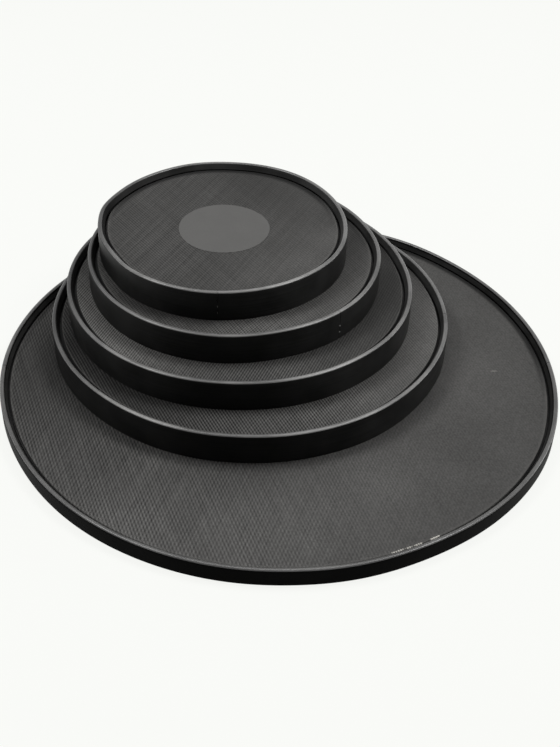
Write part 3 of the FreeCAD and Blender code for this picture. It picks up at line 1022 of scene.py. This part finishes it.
@dataclass
class Band:
    """A pad's outer band: an extruded strip bent to a ring, or two half rings, with butt seams.

    Attributes:
        place: The pad's place.
        above: The place of the pad that stands inside it, if there is one.
        looks: What sets the pad's looks apart.
        painted_light_bells: Painted highlights, and painted shade where negative, round a tall band, as
            shares of its tone.
        low_tone: The tone of the low band's plastic.
        columns: Even steps round the band.

    The other fields are the sizes of its section, of its seam and of what its finishes cover.
    """

    place: PadPlace
    above: PadPlace | None
    looks: PadLooks
    # Painted highlights on the front left and front right of a tall band, and painted shade on its left
    # side.
    painted_light_bells: tuple[Stray, ...] = (
        Stray(0.80, -124.0, 22.0),
        Stray(1.00, -54.0, 24.0),
        Stray(-0.70, 180.0, 38.0),
    )
    low_tone: float = 0.85
    wall: float = 4.3 * MM
    outer_round: float = 2.1 * MM
    inner_round: float = 2.0 * MM
    bead_drop: float = 1.0 * MM
    shoulder_reach: float = 3.2 * MM
    shoulder_drop: float = 0.6 * MM
    shoulder_thickness: float = 1.6 * MM
    shoulder_play: float = 0.4 * MM
    foot_round: float = 0.6 * MM
    small_round: float = 0.2 * MM
    grip_reach: float = 0.6 * MM
    groove_depth: float = 1.5 * MM
    groove_play: float = 0.1 * MM
    lip_reach: float = 1.3 * MM
    lip_rise: float = 1.4 * MM
    seam_width: float = 0.5 * MM
    seam_depth: float = 1.0 * MM
    dent_start: float = 3.2 * MM
    dent_full: float = 1.4 * MM
    point_spacing: float = 2.5 * MM
    columns: int = 512

    @property
    def grip_rise(self) -> float:
        """How high the grip ridge reaches above the foot."""
        return (1.6 if self.place.family is Family.LOW else 3.4) * MM

    @property
    def inside_reach(self) -> float:
        """How far out from the inner wall the inside's finish reaches."""
        return (-1.4 if self.place.family is Family.LOW else 0.2) * MM

    @property
    def flange_thickness(self) -> float:
        """How thick the flange is that sits in the groove."""
        return (2.2 if self.place.family is Family.LOW else 3.0) * MM

    def section(self) -> np.ndarray:
        """The band's section, rounded: grip, wall, bead, sloping shoulder, hoop lip and flange groove."""
        place = self.place
        shoulder = place.mesh_top - self.shoulder_drop
        inner = place.radius - self.wall
        grip = inner - self.grip_reach
        lip = place.hoop_top + self.groove_play
        groove_top = place.flange_top + self.groove_play
        groove_under = place.flange_top - self.flange_thickness
        groove_wall = inner + self.groove_depth
        grip_top = place.foot + self.grip_rise
        small = self.small_round
        outline = np.array([
            (grip, place.foot, self.foot_round),
            (place.radius, place.foot, self.foot_round),
            (place.radius, place.rim, self.outer_round),
            (inner, place.rim, self.inner_round),
            (inner - self.shoulder_reach, shoulder, small),
            (inner, shoulder - self.shoulder_thickness, small),
            (inner, lip + self.lip_rise, small),
            (inner - self.lip_reach, lip, small),
            (inner, lip, small),
            (inner, groove_top, small),
            (groove_wall, groove_top, small),
            (groove_wall, groove_under, small),
            (inner, groove_under, small),
            (inner, grip_top + self.grip_reach, small),
            (grip, grip_top, small),
        ])
        return with_spacing(rounded_outline(outline), self.point_spacing, closed=True)

    def tone_and_painted_light(self, azimuth: np.ndarray) -> np.ndarray:
        """The plastic's tone at each azimuth: one plain tone round the low band, and bell curves of painted
        highlight and painted shade round a tall band.
        """
        if self.place.family is Family.LOW:
            return np.full_like(azimuth, self.low_tone)
        return 1.0 + sum_of_strays(self.painted_light_bells, azimuth)

    def shoulder_share(self, azimuth: np.ndarray) -> np.ndarray:
        """How much of the shoulder's reach is left beside the pad that stands inside the band.

        The ray from the band's axis leaves the inner pad's circle at o.u + sqrt(r^2 - (o x u)^2), where o
        is the way to that pad's axis, u the ray's direction and r the pad's radius. The shoulder ends short
        of it.

        Args:
            azimuth: The azimuths.

        Returns:
            A share from 0 to 1 at each azimuth.
        """
        if self.above is None:
            return np.ones_like(azimuth)
        way = np.array(self.above.centre) - np.array(self.place.centre)
        along = way[0] * np.cos(azimuth) + way[1] * np.sin(azimuth)
        across = way[0] * np.sin(azimuth) - way[1] * np.cos(azimuth)
        wall = along + np.sqrt(self.above.radius**2 - across**2)
        room = self.place.radius - self.wall - wall - self.shoulder_play
        return np.clip(room / self.shoulder_reach, 0.0, 1.0)

    def surface(self, azimuth: np.ndarray, closed_turn: bool) -> Lathe:
        """The band's surface over some azimuths.

        The section is carried round the axis. Where a seam passes, the wall and the bead are cut back by
        the seam's depth; at a nick, the bead sinks by a bell curve of the distance along the band.

        Args:
            azimuth: The columns' azimuths.
            closed_turn: Whether they go all the way round.

        Returns:
            The surface.
        """
        place = self.place
        section = self.section()
        inner = place.radius - self.wall
        on_shoulder = section[:, 1:] > place.mesh_top - self.shoulder_drop - self.shoulder_thickness
        stand_in = np.where(on_shoulder, np.maximum(inner - section[:, :1], 0.0), 0.0)
        pressed = stand_in * (1.0 - self.shoulder_share(azimuth))[None, :]
        radius = section[:, :1] + pressed + sum_of_strays(self.looks.strays, azimuth)[None, :]
        level = np.repeat(section[:, 1:], len(azimuth), axis=1)
        bead = smooth_step(section[:, 1:], place.rim - self.dent_start, place.rim - self.dent_full)
        for nick in self.looks.nicks:
            away = away_from(azimuth, nick.azimuth) * place.radius
            level = level - bead * (nick.depth * np.exp(-((away / nick.width) ** 2)))[None, :]
        if closed_turn:
            away = away_from(azimuth, self.looks.seam_angle) * place.radius
            slot = (np.abs(away) < self.seam_width / 2)[None, :]
            radius = np.where(slot, np.minimum(radius, place.radius - self.seam_depth), radius)
            level = np.where(slot, np.minimum(level, place.rim - self.seam_depth), level)
        # The band's plain tone, with painted highlights and painted shade round a tall band.
        marks = {"tone_and_painted_light": np.repeat(self.tone_and_painted_light(azimuth)[None, :], len(section), axis=0)}
        return Lathe(
            radius,
            level,
            azimuth,
            place.centre,
            closed_turn=closed_turn,
            finishes=self.finish_numbers(section),
            marks=marks,
        )

    def finish_numbers(self, section: np.ndarray) -> np.ndarray:
        """The finish of each face of the section: 0 for the wall, 1 for the bead and 2 for the inside."""
        middles = (section + np.roll(section, -1, axis=0)) / 2
        radius, level = middles[:, 0], middles[:, 1]
        inward = radius < self.place.radius - self.wall + self.inside_reach
        below = level < self.place.rim - self.inner_round / 2
        return np.where(inward & below, 2, np.where(level > self.place.rim - self.bead_drop, 1, 0))

    def build_whole(self) -> list[bpy.types.Object]:
        """Make the band of one bent strip, in place of its node."""
        looks = self.looks
        features = np.radians([looks.seam_angle, *(nick.azimuth for nick in looks.nicks)])
        columns = turn_columns(0.0, FULL_TURN, self.columns, features, self.place.radius)
        piece = self.surface(columns, closed_turn=True).build(f"band_{self.place.name}")
        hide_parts(f"outer_band_{self.place.name}")
        return [piece]

    def build_halves(self) -> list[bpy.types.Object]:
        """Make the band of two half rings, in place of their nodes."""
        gap = self.seam_width / 2 / self.place.radius
        pieces = []
        for side, turn in (("rear", 0.0), ("front", HALF_TURN)):
            start = math.radians(self.looks.seam_angle) + turn + gap
            sweep = HALF_TURN - 2 * gap
            columns = turn_columns(start, sweep, self.columns // 2, np.zeros(0), self.place.radius)
            piece = self.surface(columns, closed_turn=False).build(f"band_{side}_{self.place.name}")
            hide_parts(f"{side}_band_{self.place.name}")
            pieces.append(piece)
        return pieces

    def build(self, wall: bpy.types.Material, bead: bpy.types.Material, inside: bpy.types.Material) -> None:
        """Make and dress the band.

        Args:
            wall: The outer wall's material.
            bead: The burnished bead's material.
            inside: The inner faces' material.
        """
        halves = self.place.family is Family.LOW
        for piece in self.build_halves() if halves else self.build_whole():
            settle(piece, self.place.body, Slot.BAND, wall, bead, inside)


@dataclass
class SeamPins:
    """The domed ends of the pins across a pad's seams.

    Attributes:
        place: The pad's place.
        seam_angles: The azimuths of the pad's seams, in degrees.
        heights: The pins' heights above the foot.
    """

    place: PadPlace
    seam_angles: tuple[float, ...]
    heights: tuple[float, ...]
    radius: float = 1.0 * MM
    length: float = 2.4 * MM
    dome: float = 0.25 * MM
    sharp_angle: float = 50.0
    columns: int = 24

    def build(self, finish: bpy.types.Material) -> None:
        """Make one mesh of all the pins, in place of their node.

        Each pin is a closed grid: a rounded section from its foot to its dome, turned about its own axis,
        which points outwards from the pad.

        Args:
            finish: The pins' material.
        """
        bend = np.linspace(0.0, HALF_TURN / 2, ARC_STEPS)[1:]
        width = np.concatenate([[0.0, self.radius, self.radius], self.radius * np.cos(bend)])
        reach = np.concatenate([[-self.length, -self.length, 0.0], self.dome * np.sin(bend)])
        turn = np.linspace(0.0, FULL_TURN, self.columns, endpoint=False)
        pins = []
        for angle in np.radians(self.seam_angles):
            outward = np.array([math.cos(angle), math.sin(angle), 0.0])
            aside = np.array([-math.sin(angle), math.cos(angle), 0.0])
            upward = np.array([0.0, 0.0, 1.0])
            for height in self.heights:
                foot = outward * self.place.radius
                foot = foot + np.array([*self.place.centre, self.place.foot + height])
                ring = np.cos(turn)[:, None] * aside + np.sin(turn)[:, None] * upward
                pins.append(foot + width[:, None, None] * ring[None] + reach[:, None, None] * outward)
        grid = np.zeros((len(width), self.columns))
        numbers, _ = Lathe(grid, grid, turn, self.place.centre, closed_section=False).quads()
        faces = np.concatenate([numbers + pin * len(width) * self.columns for pin in range(len(pins))])
        mesh = bpy.data.meshes.new(f"pins_{self.place.name}")
        mesh.from_pydata(np.concatenate([pin.reshape(-1, 3) for pin in pins]), [], faces.tolist())
        piece = smooth_object(mesh, self.sharp_angle)
        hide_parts(f"seam_pins_{self.place.name}")
        settle(piece, self.place.body, Slot.STEEL, finish)


@dataclass
class MeshHead:
    """A pad's head: woven mesh stretched flat over the tension ring, its collar drawn down to the hoop.

    Attributes:
        place: The pad's place.
        strays: How the band around it strays from a true circle, which its edge follows.
        collar_play: The collar's clearance from the ring and from the hoop's inner face.
        collar_thickness: The collar's thickness with its bonding.
        curl: The radius of the bend over the ring.
        under_curl: The radius of the bend on the cloth's underside.
        slack: How far the cloth dips at most between its ring's sides.
        ring_width: How wide the ring is that the cloth lies on.
        point_spacing: About the longest run along the cloth's section.
        rim_shadow_reach: How far in from the bend the painted shadow of the rear rim begins, and where it
            is full.
        columns: Steps round the head.
    """

    place: PadPlace
    strays: tuple[Stray, ...]
    collar_play: float = 0.3 * MM
    collar_thickness: float = 0.8 * MM
    curl: float = 1.7 * MM
    under_curl: float = 1.2 * MM
    slack: float = 0.22 * MM
    ring_width: float = 12.0 * MM
    point_spacing: float = 4.0 * MM
    rim_shadow_reach: tuple[float, float] = (7.0 * MM, 2.5 * MM)
    columns: int = 288

    @property
    def bend(self) -> float:
        """The radius at which the cloth bends down into its collar."""
        return self.place.ring_outer + self.collar_play

    @property
    def rim_shadow_turn(self) -> tuple[float, float, float, float]:
        """The azimuths between which the rear rim's painted shadow begins and between which it ends, in
        degrees.
        """
        return (-12.0, 12.0, 145.0, 190.0) if self.place.family is Family.LOW else (0.0, 42.0, 145.0, 190.0)

    def surface_drop(self, radius: np.ndarray, azimuth: np.ndarray) -> np.ndarray:
        """How far the cloth lies below its ring: a few crossing waves that fade out towards the ring.

        Args:
            radius: Distances from the head's middle.
            azimuth: Azimuths about it.

        Returns:
            Depths from 0 to the slack.
        """
        x, y = radius * np.cos(azimuth), radius * np.sin(azimuth)
        waves = np.sin(x / 0.017 + 1.3) * np.sin(y / 0.024 + 0.4) + np.sin((x + y) / 0.031 + 2.2)
        outer = self.place.ring_outer
        fade = smooth_step(radius, outer - self.ring_width - 4 * MM, 0.6 * outer)
        return self.slack * fade * (0.5 + 0.25 * waves)

    def section(self) -> np.ndarray:
        """The cloth's section from its axis out along the underside, round the hem and back on top."""
        place = self.place
        landing = place.hoop_inner + self.collar_play
        middle_round, hem_round = 0.01 * MM, 0.1 * MM
        outline = np.array([
            (0.0, place.mesh_under, middle_round),
            (self.bend, place.mesh_under, self.under_curl),
            (landing, place.hoop_top, hem_round),
            (landing + self.collar_thickness, place.hoop_top, hem_round),
            (self.bend + self.collar_thickness, place.mesh_top, self.curl),
            (0.0, place.mesh_top, middle_round),
        ])
        rounded = rounded_outline(outline)[ARC_STEPS - 1 : 1 - ARC_STEPS]
        rounded[[0, -1], 0] = 0.0
        return with_spacing(rounded, self.point_spacing, closed=False)

    def marks(self, radius: np.ndarray, level: np.ndarray, azimuth: np.ndarray) -> dict[str, np.ndarray]:
        """What the cloth's finish reads at each point: a painted highlight along the bend, painted shade on
        the collar and the painted shadow of the rear rim.

        The highlight is a bell curve of the distance from the bend, and the rest are products of smooth
        steps of the radius and the azimuth. The painted shadow dims the highlight, and the collar's painted
        shade is weakest at the front.

        Args:
            radius: Each point's distance from the head's middle.
            level: Each point's height.
            azimuth: Each column's azimuth.

        Returns:
            Values from 0 to 1 at each point, by name.
        """
        top = self.place.mesh_top
        start, full, fading, end = self.rim_shadow_turn
        degrees = np.degrees(azimuth)
        # Painted shadow of the rear rim, over the rear arc and a few millimetres in from the bend.
        rim_shadow = smooth_step(degrees, start, full) * smooth_step(degrees, end, fading)
        rim_shadow = rim_shadow * smooth_step(radius, *(self.bend - reach for reach in self.rim_shadow_reach))
        # Painted highlight along the bend, dimmed where the rear rim's painted shadow falls.
        bend_highlight = np.exp(-(((radius - self.bend - 0.1 * MM) / (0.7 * MM)) ** 2))
        bend_highlight = bend_highlight * smooth_step(level, top - 1.6 * MM, top - 0.4 * MM) * (1.0 - rim_shadow)
        # Painted shade on the collar, weakest at the front.
        near = smooth_step(-np.sin(azimuth), 0.45, 0.8)
        collar = smooth_step(radius, self.bend - 0.1 * MM, self.bend + 0.5 * MM) * (1.0 - 0.8 * near)
        return {"bend_highlight": bend_highlight, "collar": collar, "rim_shadow": rim_shadow}

    def build(self, finish: bpy.types.Material) -> None:
        """Make and dress the head, in place of its node.

        Args:
            finish: The cloth's material.
        """
        place = self.place
        azimuth = np.linspace(-HALF_TURN, HALF_TURN, self.columns, endpoint=False)
        section = self.section()
        radius = np.repeat(section[:, :1], self.columns, axis=1)
        level = section[:, 1:] - self.surface_drop(radius, azimuth[None, :])
        marks = self.marks(radius, level, azimuth)
        follows = smooth_step(radius, place.ring_outer - self.ring_width, place.ring_outer)
        radius = radius + follows * sum_of_strays(self.strays, azimuth)
        lathe = Lathe(radius, level, azimuth, place.centre, closed_section=False, marks=marks)
        piece = lathe.build(f"head_{place.name}")
        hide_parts(f"mesh_head_{place.name}")
        settle(piece, place.body, Slot.MESH, finish)


@dataclass
class CentreDot:
    """The round patch on the top head, cut a little raggedly on its near side.

    Attributes:
        head: The head that it lies on.
        low: The lowest corner of the patch's node.
        high: The highest corner of it.
        thickness: The film's thickness.
        edge_inset: How far in from its edge the film is flat.
        sunk: How far its underside lies within the cloth.
    """

    head: MeshHead
    low: Vector
    high: Vector
    thickness: float = 0.35 * MM
    edge_inset: float = 0.15 * MM
    sunk: float = 0.05 * MM
    columns: int = 360
    rows: int = 26

    def outline(self, azimuth: np.ndarray) -> np.ndarray:
        """The patch's radius at each azimuth: a circle with small bites, larger towards the near side."""
        near = smooth_step(-np.sin(azimuth), 0.2, 0.9)
        fine = np.sin(61 * azimuth + 0.6) * np.sin(23 * azimuth + 1.9) + 0.6 * np.sin(97 * azimuth + 3.0)
        slow = 0.25 * np.sin(3 * azimuth + 0.9) + 0.15 * np.sin(5 * azimuth)
        return (self.high.x - self.low.x) / 2 + MM * (slow + (0.08 + 0.30 * near) * fine)

    def build(self, finish: bpy.types.Material) -> None:
        """Make and dress the patch, in place of its node.

        Its underside and top are the head's own surface, raised; its edge is rounded by three rows.

        Args:
            finish: The patch's material.
        """
        centre = ((self.low.x + self.high.x) / 2, (self.low.y + self.high.y) / 2)
        place = self.head.place
        azimuth = np.linspace(0.0, FULL_TURN, self.columns, endpoint=False)
        edge = self.outline(azimuth)[None, :]
        flat = np.linspace(0.0, 1.0, self.rows)[:, None] * (edge - self.edge_inset)
        radius = np.concatenate([flat, edge, flat[::-1]])
        rises = [-self.sunk] * self.rows + [self.thickness / 2] + [self.thickness] * self.rows
        rise = np.array(rises)
        x = centre[0] - place.centre[0] + radius * np.cos(azimuth)
        y = centre[1] - place.centre[1] + radius * np.sin(azimuth)
        drop = self.head.surface_drop(np.hypot(x, y), np.arctan2(y, x))
        level = place.mesh_top + rise[:, None] - drop
        piece = Lathe(radius, level, azimuth, centre, closed_section=False).build(f"dot_{place.name}")
        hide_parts(f"centre_dot_{place.name}")
        settle(piece, place.body, Slot.DOT, finish)


def settle(piece: bpy.types.Object, body: str, slot: Slot, *finishes: bpy.types.Material) -> None:
    """Give a new piece its materials and the body that it moves with.

    Args:
        piece: The piece.
        body: The body's name.
        slot: The record's material slot; not used.
        *finishes: The materials, in the order in which its faces count them.
    """
    for finish in finishes:
        piece.data.materials.append(finish)
    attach(piece, body)
    LOG.info("%s rides on %s: %d faces", piece.name, body, len(piece.data.polygons))


class PadSet:
    """The five nested pads: their own surfaces, and finishes for the frame's hardware."""

    hoop_widths = {Family.TALL: 4.2 * MM, Family.LOW: 5.0 * MM}

    def __init__(self) -> None:
        """Make the finishes that the pads share."""
        self.bead = BandPlastic((0.092, 0.091, 0.089), roughness=0.30, gloss=0.40).make("band_bead")
        self.walls = {
            Family.TALL: BandPlastic((0.012, 0.012, 0.0117), roughness=0.40, gloss=0.09).make("satin_wall"),
            Family.LOW: BandPlastic((0.008, 0.008, 0.0078), roughness=0.45, gloss=0.012).make("matt_wall"),
        }
        self.inside = BandPlastic((0.028, 0.028, 0.0273), roughness=0.5, gloss=0.05).make("matt_inside")
        self.pins = GrainedPart((0.16, 0.16, 0.155), 0.45, metallic=1.0).make("dark_pin_steel")
        nylon = GrainedPart((0.030, 0.030, 0.029), 0.6)
        anodised = GrainedPart((0.004, 0.004, 0.004), 0.5, gloss=0.1)
        moulded = GrainedPart((0.035, 0.035, 0.034), 0.5)
        plated = GrainedPart((0.60, 0.60, 0.58), 0.3, metallic=1.0)
        self.hardware = {
            "support_flange": (Slot.FLANGE, nylon.make("filled_nylon")),
            "mesh_hoop": (Slot.HOOP, anodised.make("black_anodised_hoop")),
            "tension_ring": (Slot.RING, moulded.make("ring_plastic")),
            "tension_screw": (Slot.STEEL, plated.make("plated_steel")),
        }

    def dress_hardware(self) -> None:
        """Give the frame's own pieces their finishes, by the first words of their names."""
        for name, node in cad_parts.items():
            for kind, (slot, finish) in self.hardware.items():
                if name.startswith(kind):
                    node.data.materials.clear()
                    node.data.materials.append(finish)

    def read_place(self, name: str) -> PadPlace:
        """Read one pad's place from the frame."""
        whole = f"outer_band_{name}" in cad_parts
        bands = (f"outer_band_{name}",) if whole else (f"rear_band_{name}", f"front_band_{name}")
        return PadPlace.read(name, bands, self.hoop_widths[Family.TALL if whole else Family.LOW])

    def build_pad(self, place: PadPlace, above: PadPlace | None, looks: PadLooks) -> None:
        """Make one pad's band, pins and head.

        Args:
            place: The pad's place.
            above: The place of the pad that stands inside it, if there is one.
            looks: What sets the pad apart.
        """
        halves = place.family is Family.LOW
        seams = (looks.seam_angle, looks.seam_angle + 180.0) if halves else (looks.seam_angle,)
        Band(place, above, looks).build(self.walls[place.family], self.bead, self.inside)
        SeamPins(place, seams, looks.pin_heights).build(self.pins)
        head = MeshHead(place, looks.strays)
        head.build(WovenMesh(place.centre, place.ring_outer, looks).make(f"woven_mesh_{place.name}"))
        if f"centre_dot_{place.name}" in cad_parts:
            CentreDot(head, *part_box(f"centre_dot_{place.name}")).build(PatchFilm().make("patch_film"))

    def build(self) -> None:
        """Make every pad, from the bottom of the stack up."""
        places = [self.read_place(name) for name in LOOKS]
        for place, above, looks in zip(places, [*places[1:], None], LOOKS.values()):
            self.build_pad(place, above, looks)
        self.dress_hardware()


# ---------------------------------------------------------------- stage


@dataclass(frozen=True)
class Lamp:
    """One soft lamp.

    Attributes:
        azimuth: Its direction from the pads, in degrees from +X.
        elevation: How high it stands over the floor as seen from the pads, in degrees.
        distance: How far off it stands.
        size: Its width and height.
        power: Its power in watts.
    """

    azimuth: float
    elevation: float
    distance: float
    size: tuple[float, float]
    power: float

    def build(self, name: str) -> None:
        """Make the lamp.

        Args:
            name: Its name.
        """
        light = bpy.data.lights.new(name, "AREA")
        light.shape = "RECTANGLE"
        light.size, light.size_y = self.size
        light.energy = self.power
        lamp = link_object(name, light)
        azimuth, elevation = math.radians(self.azimuth), math.radians(self.elevation)
        flat = math.cos(elevation)
        outward = Vector((flat * math.cos(azimuth), flat * math.sin(azimuth), math.sin(elevation)))
        lamp.location = self.distance * outward
        lamp.rotation_euler = (-outward).to_track_quat("-Z", "Y").to_euler()


@dataclass(frozen=True)
class Camera:
    """The camera, held by its place and three turns.

    Attributes:
        place: Where it stands.
        pitch: How far it looks down, in degrees.
        roll: How far it is tilted to one side, in degrees.
        yaw: How far it looks aside from +Y, in degrees.
        lens: Its focal length in millimetres.
        sensor: The sensor's long side in millimetres.
    """

    place: tuple[float, float, float] = (0.0, -1.007873, 0.810926)
    pitch: float = 38.615
    roll: float = 1.938
    yaw: float = 0.061
    lens: float = 56.273
    sensor: float = 36.0

    def build(self) -> None:
        """Make the camera and set it as the scene's own.

        Its forward axis is turned down by the pitch, and its right and up axes are turned by the roll.
        """
        pitch, roll, yaw = (math.radians(angle) for angle in (self.pitch, self.roll, self.yaw))
        flat = math.cos(pitch)
        forward = Vector((math.sin(yaw) * flat, math.cos(yaw) * flat, -math.sin(pitch)))
        level_right = Vector((math.cos(yaw), -math.sin(yaw), 0.0))
        level_up = level_right.cross(forward)
        right = math.cos(roll) * level_right + math.sin(roll) * level_up
        up = right.cross(forward)
        data = bpy.data.cameras.new("camera")
        data.lens = self.lens
        data.sensor_width = self.sensor
        camera = link_object("camera", data)
        turned = Matrix((right, up, -forward)).transposed().to_4x4()
        camera.matrix_world = Matrix.Translation(self.place) @ turned
        bpy.context.scene.camera = camera


class Stage:
    """The pale floor, the lamps, the world and the camera."""

    floor_tone: Color = (0.947, 0.956, 0.930)
    floor_half: float = 6.0
    floor_bounce: Color = (0.25, 0.25, 0.25)
    floor_glow: float = 0.92
    world_level: float = 0.02
    lamps = {
        "right": Lamp(6.0, 60.0, 2.6, (0.8, 0.7), 32.0),
        "left": Lamp(176.0, 60.0, 2.6, (0.8, 0.7), 27.0),
        "top": Lamp(90.0, 72.0, 2.6, (1.6, 0.6), 24.0),
        "low_right": Lamp(18.0, 14.0, 2.6, (0.9, 0.5), 11.0),
        "low_left": Lamp(172.0, 16.0, 2.6, (0.9, 0.5), 6.0),
    }

    def build(self) -> None:
        """Make the stage."""
        self.build_floor()
        self.build_world()
        for name, lamp in self.lamps.items():
            lamp.build(name)
        Camera().build()
        bpy.context.scene.view_settings.view_transform = "Standard"

    def seen(self, nodes: bpy.types.Nodes, links: bpy.types.NodeLinks) -> Socket:
        """A switch that is 1 for rays from the camera, off gloss or through glass, and 0 for others."""
        path = nodes.new("ShaderNodeLightPath")
        shares = [path.outputs[name] for name in ("Is Camera Ray", "Is Glossy Ray", "Is Transmission Ray")]
        for _ in range(2):
            node = nodes.new("ShaderNodeMath")
            node.operation = "MAXIMUM"
            links.new(shares.pop(), node.inputs[0])
            links.new(shares.pop(), node.inputs[1])
            shares.append(node.outputs[0])
        return shares[0]

    def build_floor(self) -> None:
        """Make the floor: pale where it is seen, mostly by its own colour, and it keeps soft shadows."""
        half = self.floor_half
        mesh = bpy.data.meshes.new("floor")
        corners = [(-half, -half, 0.0), (half, -half, 0.0), (half, half, 0.0), (-half, half, 0.0)]
        mesh.from_pydata(corners, [], [(0, 1, 2, 3)])
        floor = link_object("floor", mesh)
        shade = Shade("floor")
        seen = self.seen(shade.nodes, shade.links)
        color = shade.blend(seen, self.floor_bounce, self.floor_tone)
        shade.set(Base_Color=color, Roughness=0.9, Specular_IOR_Level=0.0)
        glow = shade.add("Emission", {"Color": self.floor_tone, "Strength": 1.0})
        share = shade.math("MULTIPLY", seen, self.floor_glow)
        mixed = shade.add("MixShader", {0: share, 1: shade.surface.outputs[0], 2: glow.outputs[0]})
        shade.links.new(mixed.outputs[0], shade.nodes["Material Output"].inputs[0])
        mesh.materials.append(shade.material)

    def build_world(self) -> None:
        """Make the world: white where it is seen, and a plain fill light for the rest."""
        world = bpy.data.worlds.new("studio")
        bpy.context.scene.world = world
        world.use_nodes = True
        nodes, links = world.node_tree.nodes, world.node_tree.links
        level = nodes.new("ShaderNodeMapRange")
        links.new(self.seen(nodes, links), level.inputs[0])
        level.inputs[3].default_value = self.world_level
        level.inputs[4].default_value = 1.0
        nodes["Background"].inputs["Color"].default_value = (1.0, 1.0, 1.0, 1.0)
        links.new(level.outputs[0], nodes["Background"].inputs["Strength"])


def main() -> None:
    """Build the stage and the pads."""
    logging.basicConfig(level=logging.INFO, format="%(message)s")
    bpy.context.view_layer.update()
    Stage().build()
    PadSet().build()


if __name__ == "__main__":
    main()
